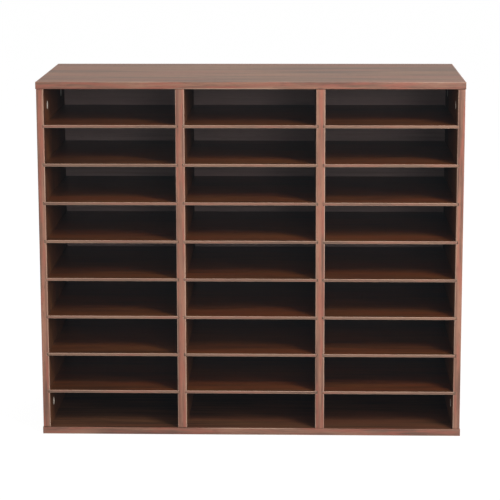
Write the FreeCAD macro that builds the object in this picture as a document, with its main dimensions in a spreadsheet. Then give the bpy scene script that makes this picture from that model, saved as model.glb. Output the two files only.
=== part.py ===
import FreeCAD, Part
import os

import Sketcher

# A pigeonhole mail sorter: a knock-down case of laminated board, open at the front, with three columns
# of nine pigeonholes between loose shelves. All lengths are in millimetres.
# The origin is the middle of the underside, +Z is up and the open front faces -Y.

ROWS = 9
SHELVES = ROWS - 1
COLUMNS = ("left", "middle", "right")
DOWEL_TAPER = -45  # degrees: the ends narrow

# The driving dimensions: alias, value and meaning.
SIZES = (
    ("compartment_width", 230, "clear width of a column"),
    ("opening_height", 63.5, "clear height of a pigeonhole"),
    ("overall_depth", 305, "depth of the top and bottom panels"),
    ("board_thickness", 12.7, "top, bottom and side panels"),
    ("divider_thickness", 16, "the two dividers"),
    ("side_overhang", 1, "top and bottom panels beyond the sides"),
    ("front_overhang", 1, "top and bottom panels beyond the uprights"),
    ("edging_thickness", 2, "glued edge banding"),
    ("edging_chamfer", 1, "long outer edges of the banding"),
    ("shelf_thickness", 5, "loose shelves"),
    ("shelf_chamfer", 0.8, "front edges of a shelf"),
    ("shelf_setback", 0.5, "shelf front behind the front of the uprights"),
    ("shelf_groove_depth", 4, "grooves that carry the shelves"),
    ("shelf_end_gap", 1, "between a shelf's end and the floor of its groove"),
    ("shelf_play", 0.4, "above a shelf in its groove"),
    ("back_thickness", 3, "back panel"),
    ("back_recess", 15, "back panel in front of the rear edges"),
    ("back_groove_depth", 5, "grooves that hold the back panel"),
    ("back_end_gap", 1, "between the back panel and a groove's floor"),
    ("back_play", 0.4, "behind the back panel in its groove"),
    ("fitting_clearance", 0.1, "all round a cam lock, bolt, dowel or screw in its hole"),
    ("hole_spare", 0.5, "depth of a hole beyond what stands in it"),
    ("cam_inset", 50, "cam lock from an upright's front, and from the back panel"),
    ("cam_edge_distance", 34, "cam lock from the end of its upright"),
    ("cam_diameter", 15, "cam lock"),
    ("cam_floor", 0.7, "cam lock's wall under the bolt's head"),
    ("cam_slot_length", 8, "cross recess of a cam lock"),
    ("cam_slot_width", 1.4, "cross recess of a cam lock"),
    ("cam_slot_depth", 2, "cross recess of a cam lock"),
    ("bolt_thread_diameter", 6, "connecting bolt's thread"),
    ("bolt_thread_length", 10.5, "connecting bolt's thread"),
    ("bolt_collar_diameter", 7.5, "collar that seats on the panel"),
    ("bolt_collar_height", 2, "collar that seats on the panel"),
    ("bolt_shank_diameter", 6, "connecting bolt's shank"),
    ("bolt_neck_diameter", 4, "neck that the cam grips"),
    ("bolt_neck_length", 5, "neck that the cam grips"),
    ("bolt_head_diameter", 6.6, "head inside the cam"),
    ("bolt_head_length", 4, "head inside the cam"),
    ("bolt_head_play", 0.8, "round the bolt's head inside the cam"),
    ("dowel_diameter", 6, "wooden dowel"),
    ("dowel_length", 30, "wooden dowel"),
    ("dowel_in_panel", 9.5, "dowel's length in the top or bottom panel"),
    ("dowel_chamfer", 0.6, "dowel's ends"),
    ("dowel_spacing", 32, "dowel from the cam lock beside it"),
    ("screw_inset", 60, "outer back screws from the ends of a divider"),
    ("screw_diameter", 3, "back screw"),
    ("screw_reach", 12, "back screw's length in the divider"),
    ("screw_head_diameter", 6, "back screw"),
    ("screw_head_height", 1.8, "back screw"),
    ("screw_slot_length", 3.6, "cross recess of a back screw"),
    ("screw_slot_width", 0.8, "cross recess of a back screw"),
    ("screw_slot_depth", 1, "cross recess of a back screw"),
)

# What follows from them: alias, formula and meaning.
PLACES = (
    ("pitch", "Dims.opening_height + Dims.shelf_thickness", "from one shelf to the next"),
    ("inner_height", f"{SHELVES} * pitch + Dims.opening_height", "between bottom and top panel"),
    ("half_inner_width", "1.5 * Dims.compartment_width + Dims.divider_thickness", "inner face of a side"),
    ("half_width", "half_inner_width + Dims.board_thickness + Dims.side_overhang", "end of the top panel"),
    ("divider_outer", "Dims.compartment_width / 2 + Dims.divider_thickness", "outer face of a divider"),
    ("column_pitch", "Dims.compartment_width + Dims.divider_thickness", "from one column to the next"),
    ("case_middle", "Dims.board_thickness + inner_height / 2", "middle height of the uprights"),
    ("front", "-Dims.overall_depth / 2", "front of the top panel"),
    ("rear", "Dims.overall_depth / 2", "rear edges of the panels"),
    ("upright_front", "front + Dims.front_overhang", "front of the uprights"),
    ("back_rear", "rear - Dims.back_recess", "rear face of the back panel"),
    ("back_front", "back_rear - Dims.back_thickness", "front face of the back panel"),
    ("front_cam", "upright_front + Dims.cam_inset", "front cam locks"),
    ("rear_cam", "back_front - Dims.cam_inset", "rear cam locks"),
    ("front_dowel", "front_cam + Dims.dowel_spacing", "front dowels"),
    ("rear_dowel", "rear_cam - Dims.dowel_spacing", "rear dowels"),
    ("shelf_front", "upright_front + Dims.shelf_setback", "front of the shelves"),
    ("shelf_grip", "Dims.shelf_groove_depth - Dims.shelf_end_gap", "shelf's length in a groove"),
    ("cam_height", "inner_height / 2 - Dims.cam_edge_distance", "cam lock from the middle height"),
    ("head_bore", "Dims.bolt_head_diameter + Dims.bolt_head_play", "space for the head in a cam"),
    ("side_cam_depth", "(Dims.board_thickness + head_bore) / 2 + Dims.cam_floor", "side's cam lock"),
    ("divider_cam_depth", "(Dims.divider_thickness + head_bore) / 2 + Dims.cam_floor", "divider's cam lock"),
    ("bolt_neck_start", "Dims.cam_edge_distance - Dims.bolt_head_length / 2 - Dims.bolt_neck_length",
     "neck from the end of the upright"),
)

doc = FreeCAD.newDocument("mail_sorter")
bodies = []


# ---- Helpers: the sheets, sketches and features -------------------------------------------------


def fill_sheet(name, rows, prefix):
    """Writes one row per value, with its meaning beside it and its alias on the cell."""
    sheet = doc.addObject("Spreadsheet::Sheet", name)
    for number, (alias, content, meaning) in enumerate(rows, start=1):
        sheet.set(f"A{number}", meaning)
        sheet.set(f"B{number}", f"{prefix}{content}")
        sheet.setAlias(f"B{number}", alias)
    doc.recompute()
    return sheet


fill_sheet("Dims", SIZES, "")
places = fill_sheet("Places", PLACES, "=")


def new_body(label, x="0", y="0", height="0"):
    """A body named like its part, with its own origin at the place that the formulas give."""
    body = doc.addObject("PartDesign::Body", label)
    body.Label = label
    body.AllowCompound = True
    for axis, formula in (("x", x), ("y", y), ("z", height)):
        body.setExpression(f"Placement.Base.{axis}", formula)
    bodies.append(body)
    return body


def origin_feature(body, role):
    return next(item for item in body.Origin.OriginFeatures if item.Role == role)


def new_sketch(body, role, offset="0"):
    """A sketch on one of the body's own origin planes, moved along the plane's normal by offset."""
    sketch = body.newObject("Sketcher::SketchObject", f"{body.Label}_sketch")
    sketch.AttachmentSupport = [(origin_feature(body, role), "")]
    sketch.MapMode = "FlatFace"
    sketch.setExpression("AttachmentOffset.Base.z", offset)
    return sketch


def pin_point(sketch, geometry, point, across, up):
    """Ties a point of the sketch to two formulas, measured from the sketch's origin."""
    for kind, formula in (("DistanceX", across), ("DistanceY", up)):
        value = float(places.evalExpression(formula))
        index = sketch.addConstraint(Sketcher.Constraint(kind, -1, 1, geometry, point, value))
        sketch.setExpression(f"Constraints[{index}]", formula)


def add_outline(sketch, corners):
    """A closed outline of straight lines through corners, each a pair of formulas."""
    points = [
        FreeCAD.Vector(float(places.evalExpression(across)), float(places.evalExpression(up)), 0)
        for across, up in corners
    ]
    ends = points[1:] + points[:1]
    lines = [sketch.addGeometry(Part.LineSegment(a, b)) for a, b in zip(points, ends)]
    for line, following in zip(lines, lines[1:] + lines[:1]):
        sketch.addConstraint(Sketcher.Constraint("Coincident", line, 2, following, 1))
    for line, (across, up) in zip(lines, corners):
        pin_point(sketch, line, 1, across, up)


def add_rectangle(sketch, left, right, low, high):
    add_outline(sketch, [(left, low), (right, low), (right, high), (left, high)])


def add_eased_section(sketch, inner, shoulder, outer, low, high, chamfer, upright=False):
    """A section from inner to outer and from low to high, its two outer corners cut off by chamfer."""
    corners = [
        (inner, low),
        (inner, high),
        (shoulder, high),
        (outer, f"{high} - {chamfer}"),
        (outer, f"{low} + {chamfer}"),
        (shoulder, low),
    ]
    if upright:
        corners = [(up, across) for across, up in corners]
    add_outline(sketch, corners)


def add_circles(sketch, centres, diameter):
    """Equal circles at centres, each a pair of formulas."""
    radius = float(places.evalExpression(diameter)) / 2
    for across, up in centres:
        centre = FreeCAD.Vector(float(places.evalExpression(across)), float(places.evalExpression(up)), 0)
        circle = sketch.addGeometry(Part.Circle(centre, FreeCAD.Vector(0, 0, 1), radius))
        pin_point(sketch, circle, 3, across, up)
        index = sketch.addConstraint(Sketcher.Constraint("Diameter", circle, 2 * radius))
        sketch.setExpression(f"Constraints[{index}]", diameter)


def extrude(body, kind, sketch, length=None, backwards=False, symmetric=False):
    """A pad or pocket of the sketch: length is a formula, or None for right through."""
    feature = body.newObject(f"PartDesign::{kind}", f"{body.Label}_{kind.lower()}")
    feature.Profile = sketch
    feature.Reversed = backwards
    if symmetric:
        feature.SideType = "Symmetric"
    if length is None:
        feature.Type = "ThroughAll"
    else:
        feature.setExpression("Length", length)
    body.Tip = feature
    return feature


def repeat_upwards(body, feature, spacing, count):
    """Repeats a feature along the body's own Z axis."""
    pattern = body.newObject("PartDesign::LinearPattern", f"{body.Label}_pattern")
    pattern.Originals = [feature]
    pattern.Direction = (origin_feature(body, "Z_Axis"), [""])
    pattern.Mode = "Spacing"
    pattern.setExpression("Offset", spacing)
    pattern.Occurrences = count
    body.Tip = pattern


def mirror_whole(body, role):
    """Adds the mirror image of all that the body holds so far, which has to be computed first."""
    doc.recompute()
    mirror = body.newObject("PartDesign::Mirrored", f"{body.Label}_mirror")
    mirror.TransformMode = "Whole shape"
    mirror.MirrorPlane = (origin_feature(body, role), [""])
    body.Tip = mirror


def cross_recess(body, role, offset, centres, size, backwards=False):
    """Cuts a cross of two slots at each centre; size is the prefix of the slot's three dimensions."""
    half_length = f"Dims.{size}_length / 2"
    half_width = f"Dims.{size}_width / 2"
    for half_across, half_up in ((half_length, half_width), (half_width, half_length)):
        sketch = new_sketch(body, role, offset)
        for across, up in centres:
            add_rectangle(
                sketch,
                f"{across} - {half_across}",
                f"{across} + {half_across}",
                f"{up} - {half_up}",
                f"{up} + {half_up}",
            )
        extrude(body, "Pocket", sketch, f"Dims.{size}_depth", backwards)


# ---- The uprights' data, which the panels' holes and the fasteners share ---------------------------


class Upright:
    """A side or divider. Its cam locks sit in one face, whose outward normal is facing times +X."""

    def __init__(self, name, face, facing, thickness, rear, grooved_faces):
        self.name = name
        self.face = face
        self.facing = facing
        self.thickness = thickness
        self.rear = rear
        self.grooved_faces = grooved_faces

    def inward(self, distance):
        """The local X of a point this far into the board from its cam face."""
        return f"{-self.facing} * ({distance})"

    def middle(self):
        """The X of the board's middle plane in the frame of the whole sorter."""
        return f"{self.face} + {self.inward(self.thickness + ' / 2')}"


BOARD = "Dims.board_thickness"
DIVIDER = "Dims.divider_thickness"
UPRIGHTS = (
    Upright("side_panel_left", "-Places.half_inner_width", 1, BOARD, "Places.rear", 1),
    Upright("side_panel_right", "Places.half_inner_width", -1, BOARD, "Places.rear", 1),
    Upright("divider_left", "-Places.divider_outer", -1, DIVIDER, "Places.back_front", 2),
    Upright("divider_right", "Places.divider_outer", 1, DIVIDER, "Places.back_front", 2),
)
CAMS_Y = ("Places.front_cam", "Places.rear_cam")
DOWELS_Y = ("Places.front_dowel", "Places.rear_dowel")
BOLT_CENTRES = [(upright.middle(), y) for upright in UPRIGHTS for y in CAMS_Y]
DOWEL_CENTRES = [(upright.middle(), y) for upright in UPRIGHTS for y in DOWELS_Y]
SCREW_X = ("-Places.column_pitch / 2", "Places.column_pitch / 2")
OUTER_SCREW = "(Places.inner_height / 2 - Dims.screw_inset)"
SCREW_Z = (f"-{OUTER_SCREW}", "0", OUTER_SCREW)


def widened(diameter):
    """The hole for a round piece of this diameter."""
    return f"{diameter} + 2 * Dims.fitting_clearance"


# ---- Top and bottom panels ----------------------------------------------------------------------


def horizontal_panel(label, joint_height, upwards):
    """A top or bottom panel. Its local z = 0 is the face that the uprights meet."""
    panel = new_body(label, height=joint_height)
    outline = new_sketch(panel, "XY_Plane")
    core_side = "(Places.half_width - Dims.edging_thickness)"
    core_front = "Places.front + Dims.edging_thickness"
    add_rectangle(outline, f"-{core_side}", core_side, core_front, "Places.rear")
    extrude(panel, "Pad", outline, BOARD, backwards=not upwards)

    groove_end = "(Places.half_inner_width + Dims.back_groove_depth)"
    groove_rear = "Places.back_rear + Dims.back_play"
    groove = new_sketch(panel, "XY_Plane")
    add_rectangle(groove, f"-{groove_end}", groove_end, "Places.back_front", groove_rear)
    extrude(panel, "Pocket", groove, "Dims.back_groove_depth", backwards=upwards)

    bolt_holes = new_sketch(panel, "XY_Plane")
    add_circles(bolt_holes, BOLT_CENTRES, widened("Dims.bolt_thread_diameter"))
    bolt_depth = "Dims.bolt_thread_length + Dims.hole_spare"
    extrude(panel, "Pocket", bolt_holes, bolt_depth, backwards=upwards)

    dowel_holes = new_sketch(panel, "XY_Plane")
    add_circles(dowel_holes, DOWEL_CENTRES, widened("Dims.dowel_diameter"))
    dowel_depth = "Dims.dowel_in_panel + Dims.hole_spare"
    extrude(panel, "Pocket", dowel_holes, dowel_depth, backwards=upwards)


def panel_edging(prefix, base_height):
    """The front strip, which runs the whole width, and the two side strips behind it."""
    chamfer = "Dims.edging_chamfer"
    strip = new_body(f"{prefix}_front_edging", height=base_height)
    section = new_sketch(strip, "YZ_Plane")
    inner = "Places.front + Dims.edging_thickness"
    shoulder = f"Places.front + {chamfer}"
    add_eased_section(section, inner, shoulder, "Places.front", "0", BOARD, chamfer)
    extrude(strip, "Pad", section, "2 * Places.half_width", symmetric=True)

    for hand, side in (("left", -1), ("right", 1)):
        behind_front_strip = "Places.front + Dims.edging_thickness"
        strip = new_body(f"{prefix}_{hand}_edging", y=behind_front_strip, height=base_height)
        section = new_sketch(strip, "XZ_Plane")
        inner = f"{side} * (Places.half_width - Dims.edging_thickness)"
        shoulder = f"{side} * (Places.half_width - {chamfer})"
        outer = f"{side} * Places.half_width"
        add_eased_section(section, inner, shoulder, outer, "0", BOARD, chamfer)
        extrude(strip, "Pad", section, "Dims.overall_depth - Dims.edging_thickness", backwards=True)


# ---- Sides and dividers -------------------------------------------------------------------------


def cut_shelf_grooves(body, upright):
    """Grooves from front to rear: in the cam face only, or in both faces of a divider."""
    section = new_sketch(body, "XZ_Plane")
    low = "Dims.opening_height"
    high = "Dims.opening_height + Dims.shelf_thickness + Dims.shelf_play"
    depth = "Dims.shelf_groove_depth"
    add_rectangle(section, "0", upright.inward(depth), low, high)
    if upright.grooved_faces == 2:
        far_floor = upright.inward(f"{upright.thickness} - {depth}")
        add_rectangle(section, far_floor, upright.inward(upright.thickness), low, high)
    groove = extrude(body, "Pocket", section, symmetric=True)
    repeat_upwards(body, groove, "Places.pitch", SHELVES)


def upright_board(upright):
    """A side or divider. Its local origin is on its cam face, at the level of the bottom panel."""
    board = new_body(upright.name, x=upright.face, height=BOARD)
    outline = new_sketch(board, "YZ_Plane")
    core_front = "Places.upright_front + Dims.edging_thickness"
    add_rectangle(outline, core_front, upright.rear, "0", "Places.inner_height")
    extrude(board, "Pad", outline, upright.thickness, backwards=upright.facing > 0)
    cut_shelf_grooves(board, upright)

    cam_holes = new_sketch(board, "YZ_Plane")
    cam_levels = ("Dims.cam_edge_distance", "Places.inner_height - Dims.cam_edge_distance")
    cam_centres = [(y, level) for y in CAMS_Y for level in cam_levels]
    add_circles(cam_holes, cam_centres, widened("Dims.cam_diameter"))
    cam_depth = f"({upright.thickness} + Places.head_bore) / 2 + Dims.cam_floor + Dims.hole_spare"
    extrude(board, "Pocket", cam_holes, cam_depth, backwards=upright.facing < 0)

    middle = upright.inward(f"{upright.thickness} / 2")
    bolt_bore = widened("Dims.bolt_collar_diameter")
    dowel_bore = widened("Dims.dowel_diameter")
    dowel_depth = "Dims.dowel_length - Dims.dowel_in_panel + Dims.hole_spare"
    for level, upwards in (("0", True), ("Places.inner_height", False)):
        bolt_holes = new_sketch(board, "XY_Plane", level)
        add_circles(bolt_holes, [(middle, y) for y in CAMS_Y], bolt_bore)
        extrude(board, "Pocket", bolt_holes, "Dims.cam_edge_distance", backwards=upwards)
        dowel_holes = new_sketch(board, "XY_Plane", level)
        add_circles(dowel_holes, [(middle, y) for y in DOWELS_Y], dowel_bore)
        extrude(board, "Pocket", dowel_holes, dowel_depth, backwards=upwards)
    return board


def side_panel(upright):
    """A side: also grooved from top to bottom for the back panel."""
    board = upright_board(upright)
    groove = new_sketch(board, "XY_Plane")
    floor = upright.inward("Dims.back_groove_depth")
    add_rectangle(groove, "0", floor, "Places.back_front", "Places.back_rear + Dims.back_play")
    extrude(board, "Pocket", groove, backwards=True)


def divider(upright):
    """A divider: its rear edge takes the screws of the back panel."""
    board = upright_board(upright)
    holes = new_sketch(board, "XZ_Plane", f"-{upright.rear}")
    middle = upright.inward(f"{upright.thickness} / 2")
    levels = [f"Places.inner_height / 2 + {level}" for level in SCREW_Z]
    add_circles(holes, [(middle, level) for level in levels], widened("Dims.screw_diameter"))
    extrude(board, "Pocket", holes, "Dims.screw_reach + Dims.hole_spare", backwards=True)


def upright_edging(upright):
    """The strip on the front edge of a side or divider, cut by the shelf grooves as the board is."""
    label = upright.name.replace("_panel", "") + "_edging"
    strip = new_body(label, x=upright.face, height=BOARD)
    section = new_sketch(strip, "XY_Plane")
    chamfer = "Dims.edging_chamfer"
    inner = "Places.upright_front + Dims.edging_thickness"
    shoulder = f"Places.upright_front + {chamfer}"
    into_strip = f"{-upright.facing} * {chamfer}"
    far_face = upright.inward(upright.thickness)
    front = "Places.upright_front"
    add_eased_section(section, inner, shoulder, front, "0", far_face, into_strip, upright=True)
    extrude(strip, "Pad", section, "Places.inner_height")
    cut_shelf_grooves(strip, upright)


# ---- Back panel and shelves ---------------------------------------------------------------------


def back_panel():
    """A thin board that stands in grooves on all four sides, on the floor of the lower one."""
    panel = new_body("back_panel", y="Places.back_rear", height="Places.case_middle")
    outline = new_sketch(panel, "XZ_Plane")
    side = "(Places.half_inner_width + Dims.back_groove_depth - Dims.back_end_gap)"
    foot = "-(Places.inner_height / 2 + Dims.back_groove_depth)"
    head = "Places.inner_height / 2 + Dims.back_groove_depth - Dims.back_end_gap"
    add_rectangle(outline, f"-{side}", side, foot, head)
    extrude(panel, "Pad", outline, "Dims.back_thickness")
    holes = new_sketch(panel, "XZ_Plane")
    add_circles(holes, [(x, z) for x in SCREW_X for z in SCREW_Z], widened("Dims.screw_diameter"))
    extrude(panel, "Pocket", holes, backwards=True)


def shelf(column, number):
    """A loose shelf. Number 1 is the lowest of its column; it rests on the floors of two grooves."""
    column_x = f"{COLUMNS.index(column) - 1} * Places.column_pitch"
    level = f"{BOARD} + Dims.opening_height + {number - 1} * Places.pitch"
    board = new_body(f"shelf_{column}_{number}", x=column_x, height=level)
    section = new_sketch(board, "YZ_Plane")
    chamfer = "Dims.shelf_chamfer"
    shoulder = f"Places.shelf_front + {chamfer}"
    back = "Places.back_front"
    add_eased_section(section, back, shoulder, "Places.shelf_front", "0", "Dims.shelf_thickness", chamfer)
    extrude(board, "Pad", section, "Dims.compartment_width + 2 * Places.shelf_grip", symmetric=True)


# ---- Fasteners: groups of equal pieces, measured from the middle height of the case ----------------


def cam_locks(label, upright, depth):
    """The cam locks of a left upright, flush in its cam face, and their mirror images on the right."""
    locks = new_body(label, height="Places.case_middle")
    centres = [(y, f"{end} * Places.cam_height") for y in CAMS_Y for end in (-1, 1)]
    into_board = upright.facing > 0
    discs = new_sketch(locks, "YZ_Plane", upright.face)
    add_circles(discs, centres, "Dims.cam_diameter")
    extrude(locks, "Pad", discs, depth, backwards=into_board)
    cross_recess(locks, "YZ_Plane", upright.face, centres, "cam_slot", backwards=not into_board)

    bolt_axes = [(upright.middle(), y) for y in CAMS_Y]
    for end, upwards in ((1, True), (-1, False)):
        seat_level = f"{end} * (Places.cam_height - Dims.bolt_head_length / 2 - Dims.bolt_head_play / 2)"
        head_space = new_sketch(locks, "XY_Plane", seat_level)
        add_circles(head_space, bolt_axes, "Places.head_bore")
        extrude(locks, "Pocket", head_space, backwards=upwards)
    mirror_whole(locks, "YZ_Plane")


def connecting_bolts():
    """Bolts screwed into the top panel, each with its head in a cam lock, and the same below."""
    bolts = new_body("connecting_bolts", height="Places.case_middle")
    joint = "Places.inner_height / 2"
    shank_start = "Dims.bolt_collar_height"
    shank_length = "Places.bolt_neck_start - Dims.bolt_collar_height"
    head_start = "Places.bolt_neck_start + Dims.bolt_neck_length"
    stages = (
        ("0", "Dims.bolt_collar_diameter", "Dims.bolt_collar_height"),
        (shank_start, "Dims.bolt_shank_diameter", shank_length),
        ("Places.bolt_neck_start", "Dims.bolt_neck_diameter", "Dims.bolt_neck_length"),
        (head_start, "Dims.bolt_head_diameter", "Dims.bolt_head_length"),
    )
    thread = new_sketch(bolts, "XY_Plane", joint)
    add_circles(thread, BOLT_CENTRES, "Dims.bolt_thread_diameter")
    extrude(bolts, "Pad", thread, "Dims.bolt_thread_length")
    for start, diameter, length in stages:
        disc = new_sketch(bolts, "XY_Plane", f"{joint} - ({start})")
        add_circles(disc, BOLT_CENTRES, diameter)
        extrude(bolts, "Pad", disc, length, backwards=True)
    mirror_whole(bolts, "XY_Plane")


def wooden_dowels():
    """Dowels with tapered ends across the joint of the uprights and the top panel, and the same below."""
    dowels = new_body("wooden_dowels", height="Places.case_middle")
    rod_length = "(Dims.dowel_length - 2 * Dims.dowel_chamfer)"
    rod_top = "Places.inner_height / 2 + Dims.dowel_in_panel - Dims.dowel_chamfer"
    rods = new_sketch(dowels, "XY_Plane", rod_top)
    add_circles(rods, DOWEL_CENTRES, "Dims.dowel_diameter")
    extrude(dowels, "Pad", rods, rod_length, backwards=True)
    for level, downwards in ((rod_top, False), (f"{rod_top} - {rod_length}", True)):
        ends = new_sketch(dowels, "XY_Plane", level)
        add_circles(ends, DOWEL_CENTRES, "Dims.dowel_diameter")
        tips = extrude(dowels, "Pad", ends, "Dims.dowel_chamfer", backwards=downwards)
        tips.TaperAngle = DOWEL_TAPER
    mirror_whole(dowels, "XY_Plane")


def back_panel_screws():
    """Screws through the back panel into the rear edges of the dividers."""
    screws = new_body("back_panel_screws", y="Places.back_rear", height="Places.case_middle")
    centres = [(x, z) for x in SCREW_X for z in SCREW_Z]
    shank = new_sketch(screws, "XZ_Plane")
    add_circles(shank, centres, "Dims.screw_diameter")
    extrude(screws, "Pad", shank, "Dims.back_thickness + Dims.screw_reach")
    head = new_sketch(screws, "XZ_Plane")
    add_circles(head, centres, "Dims.screw_head_diameter")
    extrude(screws, "Pad", head, "Dims.screw_head_height", backwards=True)
    cross_recess(screws, "XZ_Plane", "-Dims.screw_head_height", centres, "screw_slot", backwards=True)


# ---- The whole sorter ---------------------------------------------------------------------------

horizontal_panel("top_panel", f"{BOARD} + Places.inner_height", upwards=True)
horizontal_panel("bottom_panel", BOARD, upwards=False)
panel_edging("top", f"{BOARD} + Places.inner_height")
panel_edging("bottom", "0")
for upright in UPRIGHTS:
    if upright.grooved_faces == 2:
        divider(upright)
    else:
        side_panel(upright)
    upright_edging(upright)
back_panel()
for column in COLUMNS:
    for number in range(1, ROWS):
        shelf(column, number)
cam_locks("side_cam_locks", UPRIGHTS[0], "Places.side_cam_depth")
cam_locks("divider_cam_locks", UPRIGHTS[2], "Places.divider_cam_depth")
connecting_bolts()
wooden_dowels()
back_panel_screws()
doc.recompute()


# ---- Checks and output --------------------------------------------------------------------------


def check_document():
    """Stops at an object that failed, a pocket that cut nothing or a part without a sound shape."""
    for item in doc.Objects:
        if {"Invalid", "Error"} & set(item.State):
            raise RuntimeError(f"{item.Label} failed: {item.State}")
        if item.TypeId == "PartDesign::Pocket" and item.Shape.Volume >= item.BaseFeature.Shape.Volume:
            raise RuntimeError(f"{item.Label} cuts nothing")
    for body in bodies:
        if body.Shape.isNull() or not body.Shape.isValid() or not body.Shape.Solids:
            raise RuntimeError(f"{body.Label} has no sound shape")


check_document()
os.makedirs("parts", exist_ok=True)
for body in bodies:
    body.Shape.exportStep(os.path.join("parts", f"{body.Label}.step"))
    print(f"{body.Label}: {len(body.Shape.Solids)} solid(s), {body.Shape.Volume / 1000:.1f} cm3")
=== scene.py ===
import math

import bmesh
import bpy
from mathutils import Matrix, Vector


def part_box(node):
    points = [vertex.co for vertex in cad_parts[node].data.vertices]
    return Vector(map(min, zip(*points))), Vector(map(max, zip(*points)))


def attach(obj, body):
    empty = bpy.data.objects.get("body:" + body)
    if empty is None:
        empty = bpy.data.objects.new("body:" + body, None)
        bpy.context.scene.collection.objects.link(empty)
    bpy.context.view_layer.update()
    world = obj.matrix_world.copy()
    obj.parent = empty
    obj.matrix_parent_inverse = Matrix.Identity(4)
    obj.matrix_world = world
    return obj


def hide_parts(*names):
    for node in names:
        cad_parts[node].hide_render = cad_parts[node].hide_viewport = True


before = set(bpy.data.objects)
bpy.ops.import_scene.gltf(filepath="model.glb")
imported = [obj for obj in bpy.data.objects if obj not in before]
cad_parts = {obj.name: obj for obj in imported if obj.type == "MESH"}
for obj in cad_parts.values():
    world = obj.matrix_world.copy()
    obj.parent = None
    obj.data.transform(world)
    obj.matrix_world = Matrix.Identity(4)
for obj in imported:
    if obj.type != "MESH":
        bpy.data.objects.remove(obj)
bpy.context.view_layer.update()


# ---- Top and bottom panels ----------------------------------------------------------------------
# Chipboard between two sheets of walnut-printed melamine paper, pressed on with fine pores, the
# grain along the length. Whatever the saw or the router opened shows the chips: the rear edge, the
# groove for the back panel and the drilled holes.


class Signal:
    """One socket of a finish's nodes. Arithmetic on it adds Math nodes."""

    def __init__(self, tree, socket=None):
        self.tree = tree
        self.socket = socket

    def node(self, kind, settings, sockets, output=0):
        """Adds a node: its settings first, then the values or links of its sockets."""
        made = self.tree.nodes.new(kind)
        for name, value in settings.items():
            setattr(made, name, value)
        for name, value in sockets.items():
            socket = made.inputs[name]
            if isinstance(value, Signal):
                self.tree.links.new(value.socket, socket)
            elif socket.type == "RGBA":
                socket.default_value = (*value, 1.0)
            else:
                socket.default_value = value
        return Signal(self.tree, None if output is None else made.outputs[output])

    def other(self, output):
        """Another output of the node that this signal comes from."""
        return Signal(self.tree, self.socket.node.outputs[output])

    def math(self, operation, *values):
        return self.node("ShaderNodeMath", {"operation": operation}, dict(enumerate(values)))

    def __add__(self, other):
        return self.math("ADD", self, other)

    def __sub__(self, other):
        return self.math("SUBTRACT", self, other)

    def __rsub__(self, other):
        return self.math("SUBTRACT", other, self)

    def __mul__(self, other):
        return self.math("MULTIPLY", self, other)

    def __gt__(self, other):
        return self.math("GREATER_THAN", self, other)

    def __lt__(self, other):
        return self.math("LESS_THAN", self, other)

    __radd__ = __add__


def new_finish(name):
    """A material with no nodes yet, and the signal that its nodes start from."""
    material = bpy.data.materials.new(name)
    material.use_nodes = True
    material.node_tree.nodes.clear()
    return material, Signal(material.node_tree)


def surface(start, colour, roughness, relief, depth, fixed=None):
    """Ends a finish. Relief is a height of 0 to 1, depth its metres and fixed the plain sockets."""
    bump = start.node("ShaderNodeBump", {}, {"Height": relief, "Strength": 1.0, "Distance": depth})
    sockets = {"Base Color": colour, "Roughness": roughness, "Normal": bump}
    # Every finish glows a faint cool grey: a painted glow that lifts the deepest shade,
    # so no hollow is quite black.
    painted_glow = {"Emission Color": (0.0024, 0.0041, 0.0051), "Emission Strength": 1.0}
    shader = start.node("ShaderNodeBsdfPrincipled", {}, sockets | painted_glow | (fixed or {}))
    start.node("ShaderNodeOutputMaterial", {}, {"Surface": shader}, output=None)


def object_place(start):
    """The place on the object, in metres."""
    return start.node("ShaderNodeTexCoord", {}, {}, output="Object")


def object_axes(start):
    """The same place as one distance along each axis."""
    x = start.node("ShaderNodeSeparateXYZ", {}, {"Vector": object_place(start)})
    return {"x": x, "y": x.other("Y"), "z": x.other("Z")}


def joined(start, x, y, z):
    """A place from three distances, the one along the grain first."""
    return start.node("ShaderNodeCombineXYZ", {}, {"X": x, "Y": y, "Z": z})


def noise(start, place, frequency, stretch, detail, shift=(0.0, 0.0, 0.0), distortion=0.0):
    """Clouds around 0.5, their frequency per metre, drawn out along the first axis of the place."""
    scale = (frequency / stretch, frequency, frequency)
    drawn = start.node("ShaderNodeMapping", {}, {"Vector": place, "Scale": scale, "Location": shift})
    sockets = {"Vector": drawn, "Scale": 1.0, "Detail": detail, "Distortion": distortion}
    return start.node("ShaderNodeTexNoise", {}, sockets)


def rise(signal, low, high):
    """0 below low, 1 above high and a smooth step between."""
    settings = {"interpolation_type": "SMOOTHSTEP"}
    sockets = {"Value": signal, "From Min": low, "From Max": high}
    return signal.node("ShaderNodeMapRange", settings, sockets)


def blend(factor, first, second):
    """The first colour where the factor is 0 and the second where it is 1."""
    # This node has several sockets of each name, so its colour sockets go by number.
    sockets = {0: factor, 6: first, 7: second}
    return factor.node("ShaderNodeMix", {"data_type": "RGBA"}, sockets, output=2)


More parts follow.
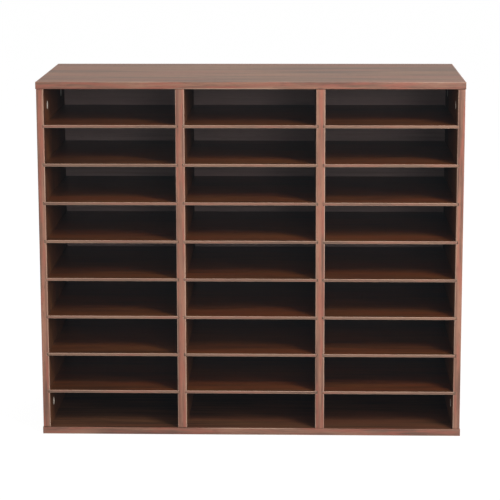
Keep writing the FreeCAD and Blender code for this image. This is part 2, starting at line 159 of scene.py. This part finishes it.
def walnut(start, place, dark, light, blush, fineness=1.0):
    """Printed walnut: its colour, its relief and its fibres. The grain follows the first axis."""
    bands = rise(noise(start, place, 14 * fineness, 9, 2), 0.3, 0.7)
    flame = noise(start, place, 9 * fineness, 8, 1.5, (4, 1, 2), 0.3)
    rings = (flame * 96).math("SINE") * 0.5 + 0.5
    streaks = rise(noise(start, place, 170, 28, 3, (1, 5, 3)), 0.3, 0.7)
    fibres = noise(start, place, 900, 60, 2)
    pores = rise(noise(start, place, 1300, 22, 0), 0.62, 0.72)
    tone = bands * 0.25 + rings * 0.15 + streaks * 0.4 + fibres * 0.2
    colour = blend(rise(tone, 0.15, 0.85), dark, light)
    warmth = rise(noise(start, place, 34 * fineness, 12, 2, (7, 3, 5)), 0.42, 0.66)
    colour = blend(warmth * 0.7, colour, blush)
    colour = blend(pores * 0.5, colour, dark)
    return colour, fibres * 0.3 - pores, fibres


def chipboard(start, place):
    """Sawn or routed board: flat pale chips in darker glue, and their relief."""
    cells = start.node("ShaderNodeMapping", {}, {"Vector": place, "Scale": (260, 420, 420)})
    chips = start.node("ShaderNodeTexVoronoi", {}, {"Vector": cells, "Scale": 1.0})
    tint = noise(start, chips.other("Color"), 3, 1, 0)
    colour = blend(rise(tint, 0.25, 0.75), (0.38, 0.235, 0.12), (0.62, 0.44, 0.265))
    return blend(rise(chips, 0.45, 0.85), colour, (0.24, 0.145, 0.075)), 1 - chips


# The thickness of the printed paper: whatever lies deeper has been cut open.
PAPER = 0.0002


def laminated_board(name, grain, thickness, shift, tint):
    """Dresses a board of the case: printed on both faces, open chips wherever it is cut.

    Grain and thickness name its axes. The shift along the grain picks the stretch of print. The
    tint scales the print's colour as painted light and shade on this board.
    """
    low, high = (corner["xyz".index(thickness)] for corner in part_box(name))
    material, start = new_finish(f"{name}_laminate")
    axes = object_axes(start)
    sideways = axes["z"] if grain == "x" else axes["x"]
    place = joined(start, axes[grain] + shift, axes["y"], sideways)

    tones = (0.058, 0.024, 0.010), (0.205, 0.090, 0.040), (0.185, 0.064, 0.030)
    tones = [tuple(channel * share for channel, share in zip(colour, tint)) for colour in tones]
    printed, pores, fibres = walnut(start, place, *tones)
    sawn, chips = chipboard(start, place)
    cut = (axes[thickness] > low + PAPER) * (axes[thickness] < high - PAPER)
    roughness = 0.54 + fibres * 0.12 + cut * 0.28
    relief = pores * (1 - cut) * 0.15 + chips * cut
    satin = {"Specular IOR Level": 0.35}
    surface(start, blend(cut, printed, sawn), roughness, relief, depth=0.0003, fixed=satin)
    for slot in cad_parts[name].material_slots:
        slot.material = material


# The top panel's print is lighter and greyer, a painted sheen and painted light from above; the bottom
# panel's is darker, a painted shade low down.
laminated_board("top_panel", "x", "z", 6.4, (1.05, 1.15, 1.3))
laminated_board("bottom_panel", "x", "z", 3.1, (0.78, 0.70, 0.62))


# ---- Sides and dividers -------------------------------------------------------------------------
# The same board standing up, with its grain upright. The grooves for the shelves and for the back
# panel are routed through the paper into the chips.

uprights = ("side_panel_left", "divider_left", "divider_right", "side_panel_right")
# The uprights' print is darkened, a painted shade on the walls of the compartments.
for order, upright in enumerate(uprights):
    laminated_board(upright, "z", "x", 1.7 + 2.3 * order, (0.60, 0.47, 0.25))


# ---- Edge banding -------------------------------------------------------------------------------
# Strips of walnut-printed plastic 2 mm thick, glued to the front edges and to the ends of the top
# and bottom panels. A scraper rounds their long edges, and the paler line on them is partly bare
# plastic where it cut through the print and partly a painted highlight. The router of the shelf
# grooves ran out through the uprights' strips, unevenly, and the walls of these mouths are painted
# near black, a painted shade in the notches.

PRINTED, SCRAPED, ROUTED = range(3)


def banding_finishes(grain):
    """The printed face of a strip, its scraped edge and its routed mouths. The grain is one axis."""
    across = [axis for axis in "xyz" if axis != grain]
    shift, sideways = (14.9, 0.52) if grain == "z" else (6.4, 0.0)
    tones = (0.117, 0.048, 0.029), (0.353, 0.164, 0.102), (0.353, 0.104, 0.065)
    if grain != "z":
        tones = [tuple(0.8 * channel for channel in colour) for colour in tones]

    def begun(kind):
        material, start = new_finish(f"banding_{kind}_{grain}")
        axes = object_axes(start)
        place = joined(start, axes[grain] + shift, axes[across[0]] + sideways, axes[across[1]])
        return material, start, place

    face, start, place = begun("printed")
    printed, pores, fibres = walnut(start, place, *tones, fineness=5)
    surface(start, printed, 0.40 + fibres * 0.12, pores * 0.15, depth=0.0003)

    # The scraped edge is paler: partly bare plastic, partly a painted highlight on the rounded edge.
    edge, start, place = begun("scraped_and_highlit")
    printed, _, fibres = walnut(start, place, *tones, fineness=5)
    if grain == "z":
        pale_line_gaps = rise(noise(start, place, 200, 16, 2), 0.42, 0.6) * 0.5
    else:
        pale_line_gaps = rise(noise(start, place, 60, 16, 2), 0.36, 0.52)
    bare = blend(fibres, (0.33, 0.20, 0.145), (0.48, 0.32, 0.23))
    colour = blend(pale_line_gaps, bare, printed)
    surface(start, colour, 0.42 + fibres * 0.15, fibres * 0.3, depth=0.0003)

    # The walls of the mouths are near black, a painted shade inside the notches.
    shaded_mouth, start, place = begun("routed_and_shaded")
    torn = noise(start, place, 900, 1, 2)
    colour = blend(torn, (0.035, 0.016, 0.009), (0.12, 0.06, 0.038))
    surface(start, colour, 0.7 + torn * 0.2, torn, depth=0.0004)
    return face, edge, shaded_mouth


def case_piece(shape, name, node, materials):
    """Makes a finished bmesh one piece of the case, in place of its CAD node."""
    mesh = bpy.data.meshes.new(name)
    shape.to_mesh(mesh)
    shape.free()
    mesh.shade_smooth()
    mesh.set_sharp_from_angle(angle=math.radians(30))
    for material in materials:
        mesh.materials.append(material)
    piece = bpy.data.objects.new(name, mesh)
    bpy.context.scene.collection.objects.link(piece)
    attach(piece, "case")
    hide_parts(node)


strip_finishes = [banding_finishes(grain) for grain in "xyz"]


def banding(name, node, run, across, out, towards,
            mouths=(), open_low=False, open_high=False, end_rounds=False):
    """A strip in its CAD node's box. Run, across and out are the axes of its length, width and
    thickness, and towards is 1 or -1, the way it looks along out. Mouths are the levels of the
    grooves along its run, open at the low or the high long edge or at both.
    """
    low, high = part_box(node)
    length, width, thickness = (high[axis] - low[axis] for axis in (run, across, out))

    def at(along, sideways, outwards):
        place = [0.0, 0.0, 0.0]
        place[run] = low[run] + along
        place[across] = low[across] + sideways
        place[out] = low[out] + outwards if towards > 0 else high[out] - outwards
        return place

    groove_depth, least_depth = 0.004, 0.0032
    up, down = [(0.0, width)], []
    for number, (foot, head) in enumerate(mouths):
        # Sines of angles that lie far apart scatter the depths, in the same way each time.
        scatter = 23 * low[0] + 7.1 * number
        right, left = (least_depth + (groove_depth - least_depth) * abs(math.sin(scatter + offset))
                       for offset in (0, 2))
        if open_high:
            inner = width - right
            up += [(foot, width), (foot, inner), (head, inner), (head, width)]
        if open_low:
            down = [(head, 0.0), (head, left), (foot, left), (foot, 0.0), *down]
    ring = [*up, (length, width), (length, 0.0), *down, (0.0, 0.0)]

    strip = bmesh.new()
    behind = [strip.verts.new(at(along, sideways, 0.0)) for along, sideways in ring]
    ahead = [strip.verts.new(at(along, sideways, thickness)) for along, sideways in ring]
    strip.faces.new(behind)
    strip.faces.new(ahead)
    rounded = []
    for i, (along, sideways) in enumerate(ring):
        j = (i + 1) % len(ring)
        wall = strip.faces.new((behind[i], behind[j], ahead[j], ahead[i]))
        on_side = sideways == ring[j][1] and sideways in (0.0, width)
        on_end = along == ring[j][0] and along in (0.0, length)
        wall.material_index = PRINTED if on_side or on_end else ROUTED
        if on_side or (on_end and end_rounds):
            rounded.append(strip.edges.get((ahead[i], ahead[j])))

    def scrape(edges, radius, segments):
        bmesh.ops.bevel(strip, geom=edges, offset=radius, segments=segments, profile=0.5,
                        affect="EDGES", material=SCRAPED)

    radius = 0.0014
    scrape(rounded, radius, 6)
    # The print stays whole round the ends, and on a side's strip along the edge without mouths.
    for face in strip.faces:
        spot = face.calc_center_median()
        at_end = min(spot[run] - low[run], high[run] - spot[run]) < radius
        on_low = spot[across] - low[across] < radius
        untouched = (open_high and not open_low) if on_low else (open_low and not open_high)
        if face.material_index == SCRAPED and (at_end or untouched):
            face.material_index = PRINTED

    chip, speck = 0.0004, 0.000005
    front = at(0.0, 0.0, thickness)[out]
    chipped = []
    for edge in strip.edges:
        meeting = {face.material_index for face in edge.link_faces}
        in_front = all(abs(corner.co[out] - front) < 1e-6 for corner in edge.verts)
        if meeting == {PRINTED, ROUTED} and in_front:
            chipped.append(edge)
    scrape(chipped, chip, 1)
    bmesh.ops.dissolve_degenerate(strip, edges=strip.edges, dist=speck)
    bmesh.ops.recalc_face_normals(strip, faces=strip.faces)
    case_piece(strip, name, node, strip_finishes[run])


X, Y, Z = 0, 1, 2
for panel in ("top", "bottom"):
    banding(f"{panel}_front_banding", f"{panel}_front_edging", X, Z, Y, -1, end_rounds=True)
    banding(f"{panel}_left_banding", f"{panel}_left_edging", Y, Z, X, -1)
    banding(f"{panel}_right_banding", f"{panel}_right_edging", Y, Z, X, 1)

SHELF_NUMBERS = range(1, 9)
uprights_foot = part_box("bottom_panel")[1][2]
shelf_thickness, play = 0.005, 0.0004
mouths = []
for number in SHELF_NUMBERS:
    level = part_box(f"shelf_left_{number}")[0][2] - uprights_foot
    mouths.append((level, level + shelf_thickness + play))
banding("side_left_banding", "side_left_edging", Z, X, Y, -1, mouths, open_high=True, end_rounds=True)
banding("side_right_banding", "side_right_edging", Z, X, Y, -1, mouths, open_low=True, end_rounds=True)
for hand in ("left", "right"):
    banding(f"divider_{hand}_banding", f"divider_{hand}_edging", Z, X, Y, -1, mouths,
            open_low=True, open_high=True, end_rounds=True)


# ---- Back panel ---------------------------------------------------------------------------------
# A thin sheet of fibreboard in the grooves round the rear, printed on the face that the
# compartments show and left brown and bare behind.

FIBREBOARD = (0.225, 0.120, 0.060), (0.345, 0.200, 0.108)

material, start = new_finish("back_panel_board")
place = object_place(start)
bare = object_axes(start)["y"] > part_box("back_panel")[0][1] + PAPER
# The print is a pale greyish walnut: partly its own colour, partly a painted sheen on the compartments'
# backs.
tones = (0.365, 0.252, 0.230), (0.510, 0.370, 0.345), (0.488, 0.328, 0.304)
printed, pores, fibres = walnut(start, place, *tones)
felted = noise(start, place, 520, 1.6, 3)
clouds = noise(start, place, 9, 1.5, 2)
raw = blend(rise(felted * 0.7 + clouds * 0.3, 0.35, 0.65), *FIBREBOARD)
roughness = 0.40 + fibres * 0.12 + bare * 0.35
relief = pores * (1 - bare) * 0.15 + felted * bare
surface(start, blend(bare, printed, raw), roughness, relief, depth=0.0002)
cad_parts["back_panel"].material_slots[0].material = material


# ---- Shelves ------------------------------------------------------------------------------------
# Loose boards 5 mm thick, printed above and below, that slide in the grooves. The front edge is
# covered with a paler foil. A paler band where it turns over the two long corners is partly foil
# rubbed bare and partly a painted highlight. The ends and the rear edge show the fibreboard.

# How far behind the front the foil lies flat, how far its corners turn, and how deep an end shows.
flat_front, corner_turn, open_edge = 0.00005, 0.00078, 0.0001

for column, shift in (("left", 0.0), ("middle", 5.3), ("right", 9.1)):
    material, start = new_finish(f"shelf_board_{column}")
    axes = object_axes(start)
    x, y = axes["x"], axes["y"]
    place = joined(start, x + shift, y, axes["z"])
    tones = (0.054, 0.015, 0.004), (0.185, 0.060, 0.015), (0.170, 0.041, 0.011)
    printed, pores, fibres = walnut(start, place, *tones)
    tones = (0.125, 0.064, 0.042), (0.250, 0.130, 0.080), (0.275, 0.103, 0.068)
    foil, _, _ = walnut(start, place, *tones, fineness=5)
    # The pale corners are partly foil rubbed bare and partly a painted highlight.
    rubbed_and_highlit = blend(fibres, (0.36, 0.23, 0.16), (0.52, 0.36, 0.26))
    felted = noise(start, place, 600, 1.4, 3)
    raw = blend(felted, *FIBREBOARD)

    (left, front, _), (right, rear, _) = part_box(f"shelf_{column}_1")
    on_front = y < front + flat_front
    on_corner = (y < front + corner_turn) * (1 - on_front)
    opened = (x < left + open_edge) + (x > right - open_edge) + (y > rear - open_edge)
    covered = blend(on_corner, blend(on_front, printed, foil), rubbed_and_highlit)
    roughness = 0.28 + fibres * 0.12 + opened * 0.4
    surface(start, blend(opened, covered, raw), roughness, pores * 0.15, depth=0.0003)
    for number in SHELF_NUMBERS:
        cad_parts[f"shelf_{column}_{number}"].material_slots[0].material = material


# ---- Cam locks ----------------------------------------------------------------------------------
# Drums of die-cast zinc pushed into holes near the ends of the uprights. Each has a rim, a sunk
# ring with an arrow towards its bolt, and a boss with a cross recess that turns it to lock.


def lathe(profile, segments):
    """A closed turned solid. The profile is radius and height from one pole to the other."""
    turned = bmesh.new()
    angles = [math.tau * step / segments for step in range(segments)]
    rings = []
    for radius, height in profile:
        spots = [(radius * math.cos(angle), radius * math.sin(angle), height) for angle in angles]
        if radius == 0.0:
            spots = [(0.0, 0.0, height)]
        rings.append([turned.verts.new(spot) for spot in spots])
    for one, two in zip(rings, rings[1:]):
        for i in range(segments):
            j = (i + 1) % segments
            corners = [one[i % len(one)], one[j % len(one)], two[j % len(two)], two[i % len(two)]]
            turned.faces.new(list(dict.fromkeys(corners)))
    bmesh.ops.recalc_face_normals(turned, faces=turned.faces)
    return turned


def prism(upper_places, lower_places):
    """A closed solid between two rings of places."""
    solid = bmesh.new()
    upper = [solid.verts.new(place) for place in upper_places]
    lower = [solid.verts.new(place) for place in lower_places]
    solid.faces.new(upper)
    solid.faces.new(lower)
    for i in range(len(upper)):
        j = (i + 1) % len(upper)
        solid.faces.new((upper[i], upper[j], lower[j], lower[i]))
    bmesh.ops.recalc_face_normals(solid, faces=solid.faces)
    return solid


def cross(long, thin, depth):
    """The cutter of a cross recess: half its length, half its arms' width, narrower at its floor."""
    plus = [(long, -thin), (long, thin), (thin, thin), (thin, long), (-thin, long), (-thin, thin),
            (-long, thin), (-long, -thin), (-thin, -thin), (-thin, -long), (thin, -long), (thin, -thin)]
    above, taper = 0.0002, 0.62
    return prism([(x, y, above) for x, y in plus], [(x * taper, y * taper, -depth) for x, y in plus])


def carved(body, cutters):
    """The mesh that is left of a body when each cutter has been taken out of it."""
    made = []
    for shape in (body, *cutters):
        mesh = bpy.data.meshes.new("carving")
        shape.to_mesh(mesh)
        shape.free()
        made.append(bpy.data.objects.new("carving", mesh))
        bpy.context.scene.collection.objects.link(made[-1])
    for cutter in made[1:]:
        cut = made[0].modifiers.new("cut", "BOOLEAN")
        cut.operation = "DIFFERENCE"
        cut.solver = "EXACT"
        cut.object = cutter
    bpy.context.view_layer.update()
    evaluated = made[0].evaluated_get(bpy.context.evaluated_depsgraph_get())
    kept = bpy.data.meshes.new_from_object(evaluated)
    for temporary in made:
        mesh = temporary.data
        bpy.data.objects.remove(temporary)
        bpy.data.meshes.remove(mesh)
    return kept


def metal(name, colour, tarnish, roughness, metallic=1.0):
    """Cast or plated metal, a little uneven and duller in patches."""
    material, start = new_finish(name)
    place = object_place(start)
    patches = rise(noise(start, place, 300, 1, 3), 0.4, 0.7)
    grains = noise(start, place, 3000, 1, 2)
    colour = blend(patches * 0.6, colour, tarnish)
    fixed = {"Metallic": metallic}
    surface(start, colour, roughness + patches * 0.12, grains, depth=0.00004, fixed=fixed)
    return material


CAM_RADIUS = 0.0075


def cam_lock(thickness):
    """The drum for a board: its face at height 0, its bolt towards +Y halfway into the board."""
    ring_floor, chamfer = -0.0007, 0.0003
    bore_radius, bore_start, bore_length, drum_floor = 0.0037, -0.0024, 0.011, 0.0007
    depth = (thickness + 2 * bore_radius) / 2 + drum_floor
    face = [(0.0, 0.0), (0.0046, 0.0), (0.0049, -0.0003), (0.0049, ring_floor), (0.0064, ring_floor),
            (0.0066, -0.0002), (0.0068, 0.0), (0.0071, 0.0), (CAM_RADIUS, -0.0004)]
    foot = [(CAM_RADIUS, -depth + chamfer), (CAM_RADIUS - chamfer, -depth), (0.0, -depth)]
    drum = lathe(face + foot, 64)
    bore = lathe([(0.0, 0.0), (bore_radius, 0.0), (bore_radius, bore_length), (0.0, bore_length)], 32)
    towards_bolt = Matrix.Rotation(-math.pi / 2, 4, "X")
    move = Matrix.Translation((0.0, bore_start, -thickness / 2))
    bmesh.ops.transform(bore, matrix=move @ towards_bolt, verts=bore.verts)
    mesh = carved(drum, [bore, cross(0.004, 0.0007, 0.002)])

    # The arrow stands on the ring's floor, sunk in by a hair so that no gap shows under it.
    arrow_top, arrow_foot = -0.0002, ring_floor - 0.0001
    outline = (0.0, 0.00625), (-0.0009, 0.0052), (0.0009, 0.0052)
    arrow = prism([(x, y, arrow_top) for x, y in outline], [(x, y, arrow_foot) for x, y in outline])
    arrow.from_mesh(mesh)
    arrow.to_mesh(mesh)
    arrow.free()
    return mesh


def placed(mesh, places, name, node, material):
    """Joins copies of a mesh at their places into one piece of the case."""
    group = bmesh.new()
    for place in places:
        copy = mesh.copy()
        copy.transform(place)
        group.from_mesh(copy)
        bpy.data.meshes.remove(copy)
    speck = 0.000002
    bmesh.ops.dissolve_degenerate(group, edges=group.edges, dist=speck)
    case_piece(group, name, node, [material])


def facing(place, out, up):
    """A turn that puts +Z outwards and +Y towards up, then a move."""
    out, up = Vector(out), Vector(up)
    turn = Matrix((up.cross(out), up, out)).transposed().to_4x4()
    return Matrix.Translation(place) @ turn


zinc = metal("die_cast_zinc", (0.93, 0.86, 0.76), (0.74, 0.67, 0.57), 0.42, metallic=0.15)
for group, panel, looks in (("side", "side_panel", (1, -1)), ("divider", "divider", (-1, 1))):
    node = f"{group}_cam_locks"
    (_, front, low), (_, rear, high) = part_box(node)
    (left, _, _), (right, _, _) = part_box(f"{panel}_left")
    # The frame's boxes carry the small errors of single precision, which rounding takes off.
    lock = cam_lock(round(right - left, 5))
    places = []
    for hand, out in zip(("left", "right"), looks):
        (left, _, _), (right, _, _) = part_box(f"{panel}_{hand}")
        face = right if out > 0 else left
        for y in (front + CAM_RADIUS, rear - CAM_RADIUS):
            for z, up in ((low + CAM_RADIUS, -1), (high - CAM_RADIUS, 1)):
                places.append(facing((face, y, z), (out, 0, 0), (0, 0, up)))
    placed(lock, places, f"{group}_cams", node, zinc)


# ---- Connecting bolts and dowels ----------------------------------------------------------------
# Plated steel bolts screwed into the top and bottom panels, with their heads in the cam locks, and
# fluted beech dowels beside them. The closed case hides both.

material, start = new_finish("plated_bolts")
place = object_place(start)
height = object_axes(start)["z"]
threaded = (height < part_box("bottom_panel")[1][2]) + (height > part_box("top_panel")[0][2])
bolt_pitch = 0.0012
ridges = ((height * (math.tau / bolt_pitch)).math("SINE") * 0.5 + 0.5) * threaded
stains = rise(noise(start, place, 260, 1, 3), 0.4, 0.7)
colour = blend(stains * 0.7, (0.74, 0.72, 0.66), (0.56, 0.50, 0.38))
surface(start, colour, 0.28 + stains * 0.15, ridges, depth=0.0004, fixed={"Metallic": 1.0})
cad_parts["connecting_bolts"].material_slots[0].material = material

material, start = new_finish("beech_dowels")
axes = object_axes(start)
place = joined(start, axes["z"], axes["x"], axes["y"])
flutes = rise(noise(start, place, 1500, 90, 0), 0.4, 0.6)
flecks = rise(noise(start, place, 2200, 5, 1), 0.6, 0.7)
colour = blend(noise(start, place, 500, 20, 2), (0.50, 0.33, 0.20), (0.68, 0.50, 0.33))
colour = blend(flecks * 0.5, colour, (0.36, 0.20, 0.11))
surface(start, colour, 0.6 + flecks * 0.1, flutes, depth=0.0003)
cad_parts["wooden_dowels"].material_slots[0].material = material


# ---- Back panel screws --------------------------------------------------------------------------
# Pan-head screws of plated steel, driven through the back panel into the rear edges of the
# dividers.

(_, tip, lowest), (_, crown, highest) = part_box("back_panel_screws")
screw_length = crown - tip
head_radius, head_height = 0.003, 0.0018
dome = [(0.0, 0.0), (0.0010, -0.00005), (0.0019, -0.00022), (0.0025, -0.00055),
        (0.00288, -0.0010), (head_radius, -0.0014), (head_radius, -head_height)]
core, crest, thread_pitch, neck, point = 0.00105, 0.0015, 0.0011, 0.0002, 0.0035
thread = []
level = -head_height - neck
while level > -screw_length + point:
    thread += [(core, level), (crest, level - thread_pitch / 2)]
    level -= thread_pitch
shaft = [(crest, -head_height), *thread, (core, level), (0.0, -screw_length)]
screw = carved(lathe(dome + shaft, 40), [cross(0.0018, 0.0004, 0.001)])

heights = (lowest + head_radius, (lowest + highest) / 2, highest - head_radius)
middles = [sum(corner[0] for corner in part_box(f"divider_{hand}")) / 2 for hand in ("left", "right")]
places = [facing((x, crown, z), (0, 1, 0), (0, 0, 1)) for x in middles for z in heights]
plating = metal("screw_plating", (0.72, 0.70, 0.64), (0.55, 0.49, 0.38), 0.30)
placed(screw, places, "back_screws", "back_panel_screws", plating)


# ---- Floor, light and camera --------------------------------------------------------------------
# A plain pale floor in an even white room. A broad lamp stands front right, weak ones low down in
# front and at both sides shine into the compartments, and one overhead reaches the rear.


def seen_directly(start):
    """1 on rays from the camera and in mirrors and glass, 0 on the light that the object gets."""
    camera_ray = start.node("ShaderNodeLightPath", {}, {}, output="Is Camera Ray")
    return camera_ray + camera_ray.other("Is Glossy Ray") + camera_ray.other("Is Transmission Ray")


WHITE = (1.0, 1.0, 1.0)

# The floor reaches 12 m each way and lies a hair below the case, so that no two faces coincide.
reach, gap = 12.0, 0.0002
floor_mesh = bpy.data.meshes.new("floor")
floor_corners = [(-reach, -reach, 0), (reach, -reach, 0), (reach, reach, 0), (-reach, reach, 0)]
floor_mesh.from_pydata(floor_corners, [], [(0, 1, 2, 3)])
floor = bpy.data.objects.new("floor", floor_mesh)
floor.location.z = -gap
bpy.context.scene.collection.objects.link(floor)

# The camera sees the floor as mostly plain white, with just enough of the lit floor for a shadow.
material, start = new_finish("pale_floor")
whiteness = 0.88
pale = start.node("ShaderNodeBsdfDiffuse", {}, {"Color": (0.8, 0.8, 0.8)})
white = start.node("ShaderNodeEmission", {}, {"Color": WHITE, "Strength": 1.10})
shown = start.node("ShaderNodeMixShader", {}, {0: seen_directly(start) * whiteness, 1: pale, 2: white})
start.node("ShaderNodeOutputMaterial", {}, {"Surface": shown}, output=None)
floor_mesh.materials.append(material)

room = bpy.data.worlds.new("room")
room.use_nodes = True
room.node_tree.nodes.clear()
start = Signal(room.node_tree)
even = start.node("ShaderNodeBackground", {}, {"Color": WHITE, "Strength": 0.30})
bright = start.node("ShaderNodeBackground", {}, {"Color": WHITE, "Strength": 1.0})
mixed = start.node("ShaderNodeMixShader", {}, {0: seen_directly(start), 1: even, 2: bright})
start.node("ShaderNodeOutputWorld", {}, {"Surface": mixed}, output=None)
bpy.context.scene.world = room


def aimed(thing, place, target):
    """Puts a lamp or the camera at a place, looking at the target."""
    bpy.context.scene.collection.objects.link(thing)
    thing.location = place
    thing.rotation_euler = (Vector(target) - Vector(place)).to_track_quat("-Z", "Y").to_euler()


middle = Vector((0.0, 0.0, 0.32))


def lamp(name, azimuth, elevation, distance, size, share):
    """A soft lamp that looks at the middle of the case, its azimuth from the front towards +X.
    Share is about how bright it alone makes a white card that faces it, where 1 is white.
    """
    around, upwards = math.radians(azimuth), math.radians(elevation)
    level = math.cos(upwards)
    direction = Vector((math.sin(around) * level, -math.cos(around) * level, math.sin(upwards)))
    light = bpy.data.lights.new(name, "AREA")
    light.shape = "ELLIPSE"
    light.size, light.size_y = size
    light.energy = share * math.pi ** 2 * distance ** 2
    aimed(bpy.data.objects.new(name, light), middle + direction * distance, middle)


lamp("key", 39, 34, 2.8, (0.9, 0.9), 0.61)
lamp("right", 50, 11, 6.0, (1.6, 1.0), 0.17)
lamp("front", 16, 14, 8.0, (2.9, 2.5), 0.09)
lamp("left", -42, 11, 6.3, (2.0, 1.0), 0.05)
lamp("rear", 163, 64, 3.1, (1.8, 1.0), 0.30)

# A long lens stands a little right of the middle, above the top panel, and looks slightly down.
camera = bpy.data.cameras.new("camera")
camera.sensor_width = 36.0
camera.lens = 132.53
camera.shift_y = -0.1
viewer = bpy.data.objects.new("camera", camera)
aimed(viewer, (0.09083, -3.33191, 0.99991), (-0.00492, 0.0, 0.40145))
viewer.rotation_euler.rotate_axis("Z", -0.0026)
bpy.context.scene.camera = viewer
bpy.context.scene.view_settings.view_transform = "Standard"
